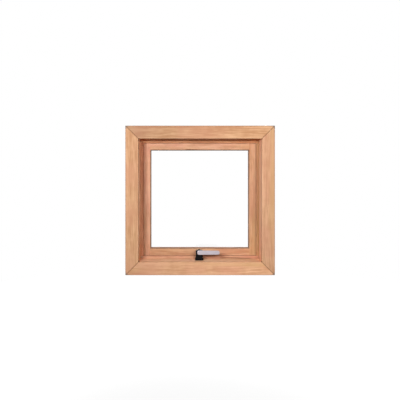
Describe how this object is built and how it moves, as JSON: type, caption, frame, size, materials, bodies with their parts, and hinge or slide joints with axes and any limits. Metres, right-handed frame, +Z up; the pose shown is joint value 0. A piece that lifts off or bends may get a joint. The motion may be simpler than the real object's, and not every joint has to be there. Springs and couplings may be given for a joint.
{
  "type": "top hung awning window",
  "caption": "Square top hung timber window, shut, with a rebated glazed sash, butt hinges at the head, a sill lever fastener and a mitred architrave on the room side.",
  "frame": {"origin": "middle of the sill's flat underside, half way through the depth of the frame boards", "axes": "+X to the right as seen from the room, +Y from the room to the outside, +Z up"},
  "size_m": [0.6, 0.158, 0.6],
  "materials": {
    "frame_timber": "satin clear coat",
    "sash_timber": "satin clear coat",
    "glass": "clear",
    "seal_rubber": "matt",
    "hinge_steel": "brushed",
    "black_metal": "satin black",
    "satin_metal": "satin"
  },
  "bodies": {
    "window": {"architrave_head": "frame_timber", "architrave_bottom": "frame_timber", "architrave_left": "frame_timber", "architrave_right": "frame_timber", "frame_head": "frame_timber", "frame_sill": "frame_timber", "frame_left_jamb": "frame_timber", "frame_right_jamb": "frame_timber", "stop_head": "frame_timber", "stop_sill": "frame_timber", "stop_left": "frame_timber", "stop_right": "frame_timber", "sash_left_stile": "sash_timber", "sash_right_stile": "sash_timber", "sash_top_rail": "sash_timber", "sash_bottom_rail": "sash_timber", "glazing_bead_head": "sash_timber", "glazing_bead_bottom": "sash_timber", "glazing_bead_left": "sash_timber", "glazing_bead_right": "sash_timber", "glass_pane": "glass", "seal_head": "seal_rubber", "seal_sill": "seal_rubber", "seal_left": "seal_rubber", "seal_right": "seal_rubber", "gasket_head": "seal_rubber", "gasket_bottom": "seal_rubber", "gasket_left": "seal_rubber", "gasket_right": "seal_rubber", "left_hinge_frame_leaf": "hinge_steel", "left_hinge_sash_leaf": "hinge_steel", "left_hinge_pin": "hinge_steel", "right_hinge_frame_leaf": "hinge_steel", "right_hinge_sash_leaf": "hinge_steel", "right_hinge_pin": "hinge_steel", "fastener_body": "black_metal", "fastener_striker": "black_metal"},
    "lever": {"fastener_lever": "satin_metal", "fastener_cam": "black_metal"}
  },
  "joints": [
    {"name": "lever_turn", "type": "hinge", "parent": "window", "child": "lever", "pos_m": [-0.003, -0.022, 0.073], "axis": [0, -1, 0], "range_deg": [0, 90]}
  ]
}
